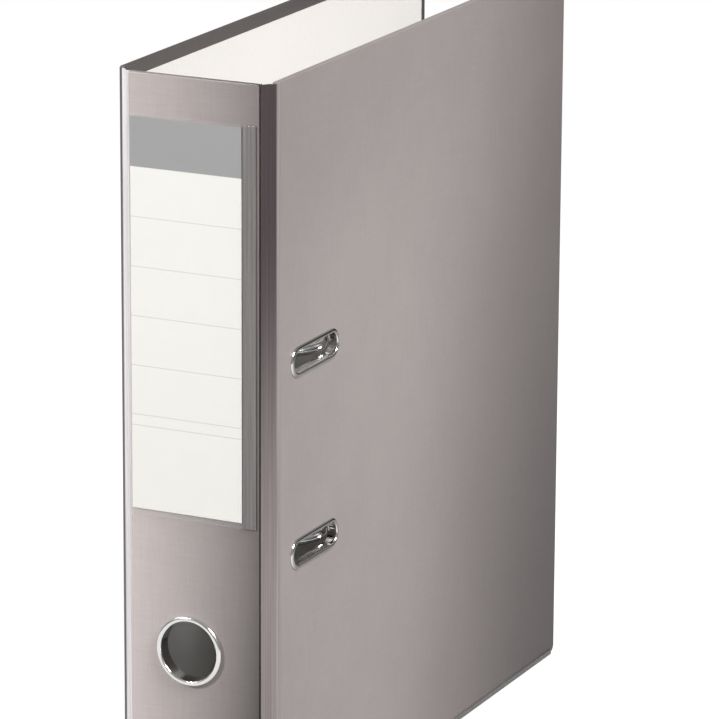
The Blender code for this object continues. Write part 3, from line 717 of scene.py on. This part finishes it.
def ring_washer():
    """Domed washer that holds the ring inside the spine."""
    low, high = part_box("finger_ring_washer")
    centre = Vector((middle("finger_ring_washer").x, low.y, middle("finger_ring_washer").z))
    outer = (high.x - low.x) / 2
    inner = outer - 1.8 * MM
    height = high.y - low.y
    rim = height * 0.4
    dome = height - rim
    profile = [(inner, 0), (outer, 0), (outer, -rim)]
    profile.extend(arc(outer - 0.6 * MM, -rim, dome, 0, -90, 6)[1:])
    profile.append((inner, -height))
    mesh = turned("washer", profile, centre, TO_SPINE, 96)
    piece("finger_ring_washer_domed", mesh, RING_METAL, ["finger_ring_washer"], "spine")


WELD_START = LABEL_HIGH.x + 0.4 * MM
WELD_RIBS = 3
WELD_STEPS = 48
WELD_BACK = SPINE_LOW.y - 0.25 * MM
WELD_FRONT = SPINE_LOW.y - 0.55 * MM
SHEET_T = 0.28 * MM


def pocket_sheet():
    """Clear sheet over the label."""
    face = POCKET_LOW.y
    loops = [rounded_box(POCKET_LOW.x, WELD_START, POCKET_LOW.z, POCKET_HIGH.z, 1.0 * MM)]
    sheet = slab("sheet", loops, TO_SPINE, -(face + SHEET_T), -face)
    piece("label_pocket_sheet", sheet, POCKET, ["label_pocket"], "spine")


def weld_ring(z, at_end):
    """Section of the welded margin: upright ribs that run out at both ends."""
    ring = []
    for i in range(WELD_STEPS + 1):
        share = i / WELD_STEPS
        x = WELD_START + (POCKET_HIGH.x - WELD_START) * share
        wave = 0.5 - 0.5 * math.cos(2 * math.pi * WELD_RIBS * share)
        lift = 0.10 * MM if at_end else (0.12 + 0.26 * wave) * MM
        ring.append((x, WELD_FRONT - lift, z))
    ring.append((POCKET_HIGH.x, WELD_BACK, z))
    ring.append((WELD_START, WELD_BACK, z))
    return ring


def pocket_weld():
    """Ribbed margin where the pocket is welded shut."""
    run_out = 0.6 * MM
    rings = [
        weld_ring(POCKET_LOW.z, True), weld_ring(POCKET_LOW.z + run_out, False),
        weld_ring(POCKET_HIGH.z - run_out, False), weld_ring(POCKET_HIGH.z, True),
    ]
    piece("label_pocket_weld", lofted("weld", rings), WELD, ["label_pocket"], "spine")


finger_ring()
ring_washer()
pocket_sheet()
pocket_weld()


# ---------------------------------------------------------------- hinge films

FILM_T = 0.30 * MM
# Section of a film from the spine board's edge to the cover's edge, in millimetres: how far in from
# the cover's outer face, and how far behind the spine's.
FRONT_START = [(6.05, 2.3), (6.05, 1.5), (5.65, 0.65)]
REAR_START = [(6.65, 1.1), (6.55, 0.5), (5.7, 0.4)]
GROOVE = [
    (4.8, 0.6), (4.25, 1.25), (3.7, 2.3), (2.8, 3.1), (1.8, 3.65),
    (1.0, 3.95), (0.4, 4.25), (0.0, 4.7), (-0.15, 5.6), (-0.15, 6.8),
]
GROOVE_LEVELS = 24


def groove_half(name, side, points, finish, nodes):
    """Film through part of the groove's section, at the full height of the boards."""
    rings = []
    for level in range(GROOVE_LEVELS + 1):
        z = SPINE_LOW.z + (SPINE_HIGH.z - SPINE_LOW.z) * level / GROOVE_LEVELS
        outer = []
        inner = []
        for i, point in enumerate(points):
            before = points[max(i - 1, 0)]
            after = points[min(i + 1, len(points) - 1)]
            along = (after - before).normalized()
            inward = Vector((-along.y, along.x)) * FILM_T
            outer.append((side * point.x, point.y, z))
            inner.append((side * (point.x + inward.x), point.y + inward.y, z))
        rings.append(outer + inner[::-1])
    return piece(name, lofted(name, rings), finish, nodes)


def hinge_film(side, finish):
    """Film from the spine's edge to the cover's edge, made as two halves that meet in the groove."""
    section = (FRONT_START if side > 0 else REAR_START) + GROOVE
    line = softened([
        (COVER_HIGH.x - inset * MM, SPINE_LOW.y + depth * MM) for inset, depth in section
    ])
    split = len(line) // 2
    near = line[:split + 1]
    far = line[split:]
    label = "front" if side > 0 else "rear"
    node = label + "_hinge_strip"

    def spot(point):
        """Place of a point of the section, on this film's side of the file."""
        return (side * point.x, point.y, 0)

    spine_half = groove_half(label + "_hinge_film_spine", side, near, finish, [node])
    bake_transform(spine_half)
    cover_half = groove_half(label + "_hinge_film_cover", side, far, finish, [node])
    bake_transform(cover_half)


hinge_film(1, FRONT_GROOVE)
hinge_film(-1, REAR_GROOVE)


# ---------------------------------------------------------------- cover hardware


def slot_eyelet(node):
    """Rolled rim round a slot of the front cover, with its sleeve through the board."""
    low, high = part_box(node)
    centre = (low + high) / 2
    flange = 2.0 * MM
    length = high.y - low.y - 2 * flange
    height = high.z - low.z - 2 * flange
    top = high.x
    roll = 0.75 * MM
    wall = 0.6 * MM
    seat = COVER_HIGH.x + 0.1 * MM
    section = [(0.0, low.x), (0.0, top - roll)]
    section.extend(arc(roll, top - roll, roll, 180, 90, 7)[1:])
    section.extend([
        (1.25 * MM, top - 0.06 * MM), (1.65 * MM, top - 0.28 * MM), (1.9 * MM, top - 0.52 * MM),
        (flange, seat + 0.12 * MM), (flange, seat), (wall, seat), (wall, low.x),
    ])
    rings = []
    for offset, x in section:
        outline = stadium(centre.y, centre.z, length + 2 * offset, height + 2 * offset)
        rings.append([(x, y, z) for y, z in outline])
    piece(node + "_rolled", lofted(node, rings, closed=True), EYELET_METAL, [node], "front", 40)


def edge_rail(node, body):
    """Zinc rail crimped round a cover's lower edge, with rounded folds and closed ends."""
    low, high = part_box(node)
    wall = 0.5 * MM
    fold = 1.0 * MM
    left, right = low.x, high.x
    section = [(left, high.z)]
    section.extend(arc(left + fold, low.z + fold, fold, 180, 270, 6))
    section.extend(arc(right - fold, low.z + fold, fold, 270, 360, 6))
    section.extend([(right, high.z), (right - wall, high.z)])
    section.extend(arc(right - fold, low.z + fold, fold - wall, 360, 270, 6))
    section.extend(arc(left + fold, low.z + fold, fold - wall, 270, 180, 6))
    section.append((left + wall, high.z))
    centre = (left + right) / 2
    ends = [(0.0, 0.35), (0.001, 0.12), (0.004, 0.0), (0.996, 0.0), (0.999, 0.12), (1.0, 0.35)]
    rings = []
    for share, squeeze in ends:
        y = low.y + (high.y - low.y) * share
        rings.append([(x - math.copysign(squeeze * MM, x - centre), y, z) for x, z in section])
    piece(node + "_folded", lofted(node, rings), RAIL_METAL, [node], body, 40)


for level in ("upper", "lower"):
    slot_eyelet("slot_eyelet_" + level)
edge_rail("front_edge_rail", "front")
edge_rail("back_edge_rail", "back")


def dome_angles():
    """Angles down a dome from near its top to its rim."""
    return [math.radians(90 * i / 8) for i in range(1, 9)]


def rivet(node):
    """Rivet with a low domed head on each side."""
    low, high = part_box(node)
    centre = (low + high) / 2
    head = (high.y - low.y) / 2
    shank = 1.8 * MM
    rise = 0.65 * MM
    dome = [(head * math.sin(a), rise * (1 - math.cos(a))) for a in dome_angles()]
    profile = [(0.0, high.x)]
    profile.extend((radius, high.x - drop) for radius, drop in dome)
    profile.extend([(shank, high.x - rise), (shank, low.x + rise)])
    profile.extend((radius, low.x + drop) for radius, drop in reversed(dome))
    profile.append((0.0, low.x))
    spot = Vector((0, centre.y, centre.z))
    piece(node + "_domed", turned(node, profile, spot, TO_X, 48), RIVET_METAL, [node], "back", 50)


for number in range(1, 5):
    rivet("rivet_%d" % number)


# ---------------------------------------------------------------- mechanism

WIRE_R = 2.0 * MM


def arch_wire():
    """Both arches and the cranked torsion bar between them, bent from one wire."""
    low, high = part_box("arch_wire")
    foot_x = low.x + WIRE_R
    foot_y = low.y + WIRE_R
    tip_y = high.y - WIRE_R
    radius = (tip_y - foot_y) / 2
    crown_x = high.x - WIRE_R - radius
    pitch = (high.z - low.z) / 2 - WIRE_R
    bend = 3.0 * MM
    crank = 10.0 * MM
    crank_rise = 0.16 * MM
    tip_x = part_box("post_upper")[1].x + 0.4 * MM
    tip_steps = [(0.0, 0.62), (1.0, 0.82), (2.0, 0.96), (3.0, 1.0)]
    quarter = [math.radians(90 * i / 8) for i in range(9)]
    path = []
    for sign in (1, -1):
        side = [(tip_x + up * MM, tip_y, MECH_Z + sign * pitch) for up, _ in tip_steps]
        for y, x in arc(foot_y + radius, crown_x, radius, 0, 180, 36):
            side.append((x, y, MECH_Z + sign * pitch))
        for z, x in arc(0, foot_x + bend, bend, 0, -90, 8):
            side.append((x, foot_y, MECH_Z + sign * (pitch - bend + z)))
        for angle in quarter:
            side.append((
                foot_x, foot_y + bend * (1 - math.cos(angle)),
                MECH_Z + sign * (crank + bend - bend * math.sin(angle)),
            ))
        for angle in quarter:
            side.append((
                foot_x + crank_rise, foot_y + crank - bend * (1 - math.sin(angle)),
                MECH_Z + sign * (crank - bend * (1 - math.cos(angle))),
            ))
        path.extend(side if sign > 0 else side[::-1])
    radii = [WIRE_R] * len(path)
    for i, (_, share) in enumerate(tip_steps):
        radii[i] = WIRE_R * share
        radii[-1 - i] = WIRE_R * share
    piece("arch_wire_bent", swept("arch", path, radii, 24), WIRE_METAL, ["arch_wire"], "arch", 50)


def post(node):
    """Fixed post with a collar at its foot and a hollow, rounded tip."""
    low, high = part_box(node)
    centre = (low + high) / 2
    radius = 2.3 * MM
    collar = (high.y - low.y) / 2
    spigot = 1.5 * MM
    plate = PLATE_HIGH.x
    seat = plate + 0.3 * MM
    bore_end = high.x - 4.0 * MM
    lip = 0.45 * MM
    fillet = 0.9 * MM
    profile = [(0.0, bore_end), (1.3 * MM, bore_end), (1.4 * MM, high.x - 0.3 * MM)]
    profile.extend(arc(radius - lip, high.x - lip, lip, 120, 0, 8))
    profile.extend(arc(radius + fillet, plate + 2.0 * MM, fillet, 180, 250, 6))
    profile.extend([
        (collar, plate + 0.9 * MM), (collar, seat), (spigot, seat), (spigot, low.x), (0.0, low.x),
    ])
    spot = Vector((0, centre.y, centre.z))
    piece(node + "_turned", turned(node, profile, spot, TO_X, 48), WIRE_METAL, [node], "back", 40)


def wire_clip(node):
    """Saddle bent over the torsion bar, with two feet on the plate."""
    low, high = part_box(node)
    centre_y = (low.y + high.y) / 2
    strap = 0.9 * MM
    inner = WIRE_R + 0.3 * MM
    outer = inner + strap
    axis_x = high.x - outer
    foot = low.x
    foot_top = foot + strap
    reach = (high.y - low.y) / 2
    loop = [(foot, centre_y - reach), (foot, centre_y - inner)]
    loop.extend((axis_x + b, centre_y + a) for a, b in arc(0, 0, inner, 180, 0, 24))
    loop.extend([
        (foot, centre_y + inner), (foot, centre_y + reach), (foot_top, centre_y + reach),
        (foot_top, centre_y + outer),
    ])
    loop.extend((axis_x + b, centre_y + a) for a, b in arc(0, 0, outer, 0, 180, 24))
    loop.extend([(foot_top, centre_y - outer), (foot_top, centre_y - reach)])
    mesh = slab(node, [loop], UPRIGHT, low.z, high.z)
    piece(node + "_bent", mesh, PLATE_METAL, [node], "back", 35, 0.18 * MM)


def round_pin(node, body):
    """Plain pin with domed ends."""
    low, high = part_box(node)
    centre = (low + high) / 2
    radius = (high.x - low.x) / 2
    half = (high.z - low.z) / 2
    edge = 0.35 * MM
    profile = [(0.0, half)]
    profile.extend(arc(radius - edge, half - edge, edge, 90, 0, 5))
    profile.extend(arc(radius - edge, edge - half, edge, 0, -90, 5))
    profile.append((0.0, -half))
    piece(node + "_round", turned(node, profile, centre, UPRIGHT, 40), RIVET_METAL, [node], body, 50)


def roller():
    """Plastic roller with rounded rims, running on its pin."""
    low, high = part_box("roller")
    centre = (low + high) / 2
    radius = (high.x - low.x) / 2
    half = (high.z - low.z) / 2
    edge = 0.5 * MM
    bore = 1.5 * MM
    profile = [(bore, half)]
    profile.extend(arc(radius - edge, half - edge, edge, 90, 0, 5))
    profile.extend(arc(radius - edge, edge - half, edge, 0, -90, 5))
    profile.append((bore, -half))
    mesh = turned("roller", profile, centre, UPRIGHT, 48)
    piece("roller_round", mesh, BLACK_PLASTIC, ["roller"], "roller", 50)


def compressor_bar():
    """Pressed channel: a drilled floor and a rolled wall all round it."""
    low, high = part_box("compressor_bar")
    centre = (low + high) / 2
    posts = [middle("post_upper").z, middle("post_lower").z]
    corner = 5.0 * MM
    wall = 1.0 * MM
    hole = 4.2 * MM
    holes = [arc(centre.y, z, hole, 0, 360, 36)[:-1] for z in posts]
    floor_inset = 0.45 * MM
    floor_line = rounded_box(
        low.y + floor_inset, high.y - floor_inset, low.z + floor_inset, high.z - floor_inset,
        corner - floor_inset, 10,
    )
    floor = slab("bar_floor", [floor_line] + holes, TO_X, low.x + 0.02 * MM, low.x + wall)
    piece("compressor_bar_floor", floor, PLATE_METAL, ["compressor_bar"], "bar")
    section = [
        (0.0, 0.5), (0.15, 0.15), (0.5, 0.0), (1.0, 0.02), (1.0, 2.95),
        (0.8, 3.3), (0.5, 3.4), (0.2, 3.3), (0.0, 2.95),
    ]
    rings = []
    for inset, lift in section:
        ring = rounded_box(
            low.y + inset * MM, high.y - inset * MM, low.z + inset * MM, high.z - inset * MM,
            corner - inset * MM, 10,
        )
        rings.append([(low.x + lift * MM, y, z) for y, z in ring])
    wall_mesh = lofted("bar_wall", rings, closed=True)
    piece("compressor_bar_wall", wall_mesh, PLATE_METAL, ["compressor_bar"], "bar", 50)


def bar_bush(node):
    """Black bush that guides the bar on a post."""
    low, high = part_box(node)
    centre = (low + high) / 2
    outer = (high.y - low.y) / 2
    bore = 2.6 * MM
    neck = 3.9 * MM
    floor_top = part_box("compressor_bar")[0].x + 1.3 * MM
    edge = 0.4 * MM
    profile = [(bore, high.x)]
    profile.extend(arc(outer - edge, high.x - edge, edge, 90, 0, 5))
    profile.extend([(outer, floor_top), (neck, floor_top), (neck, low.x), (bore, low.x)])
    spot = Vector((0, centre.y, centre.z))
    piece(node + "_moulded", turned(node, profile, spot, TO_X, 48), BLACK_PLASTIC, [node], "bar", 40)


PIVOT = middle("lever_pivot_pin")
LEVER_SLOPE = math.radians(40)
LEVER_ALONG = Vector((math.sin(LEVER_SLOPE), -math.cos(LEVER_SLOPE), 0))
LEVER_DOWN = Vector((-math.cos(LEVER_SLOPE), -math.sin(LEVER_SLOPE), 0))


def lever_grip():
    """Moulded thumb grip: a cushioned block with ribs across its upper face."""
    starts, ends = 27.0, 45.0
    top, bottom = -5.6, 4.0
    level = (top + bottom) / 2
    half_height = (bottom - top) / 2 - 0.25
    half_width = 8.5
    rib_count = 5
    steps = 36
    sides = 48
    rings = []
    for i in range(steps + 1):
        share = i / steps
        a = starts + (ends - starts) * share
        end_drop = abs(2 * share - 1) ** 8
        shrink = 1 - 0.16 * end_drop
        ribs = 0.22 * math.sin(2 * math.pi * rib_count * share) * (1 - end_drop)
        ring = []
        for k in range(sides):
            angle = 2 * math.pi * k / sides
            wide = math.copysign(abs(math.cos(angle)) ** 0.45, math.cos(angle))
            across = wide * half_width * shrink
            lift = math.copysign(abs(math.sin(angle)) ** 0.55, math.sin(angle))
            b = level + lift * half_height * shrink
            if lift < 0:
                b -= ribs * abs(lift)
            spot = LEVER_ALONG * a * MM + LEVER_DOWN * b * MM
            ring.append((PIVOT.x + spot.x, PIVOT.y + spot.y, MECH_Z + across * MM))
        rings.append(ring)
    piece("lever_grip_moulded", lofted("grip", rings), BLACK_PLASTIC, ["lever_grip"], "lever", 45)


def plate_beads():
    """Pressed stiffening beads along the base plate."""
    rear = PLATE_LOW.y + 3.6 * MM
    fore = PLATE_HIGH.y - 3.0 * MM
    clear = 12 * MM
    reach = 62 * MM
    width = 3.2 * MM
    section = [(0.0, -0.1), (0.0, 0.0), (0.35, 0.18), (0.8, 0.42), (1.3, 0.5)]
    spans = [
        ("plate_bead_1", rear, MECH_Z + clear, MECH_Z + reach),
        ("plate_bead_2", rear, MECH_Z - reach, MECH_Z - clear),
        ("plate_bead_3", fore, MECH_Z - reach, MECH_Z + reach),
    ]
    for name, y, low, high in spans:
        rings = []
        for inset, lift in section:
            cut = 2 * inset * MM
            outline = stadium((low + high) / 2, y, high - low - cut, width - cut, 10)
            rings.append([(PLATE_HIGH.x + lift * MM, b, a) for a, b in outline])
        piece(name, lofted(name, rings), PLATE_METAL, (), "back", 60)


arch_wire()
for level in ("upper", "lower"):
    post("post_" + level)
    wire_clip("wire_clip_" + level)
    bar_bush("bar_bush_" + level)
round_pin("lever_pivot_pin", "back")
round_pin("roller_pin", "lever")
roller()
compressor_bar()
lever_grip()
plate_beads()
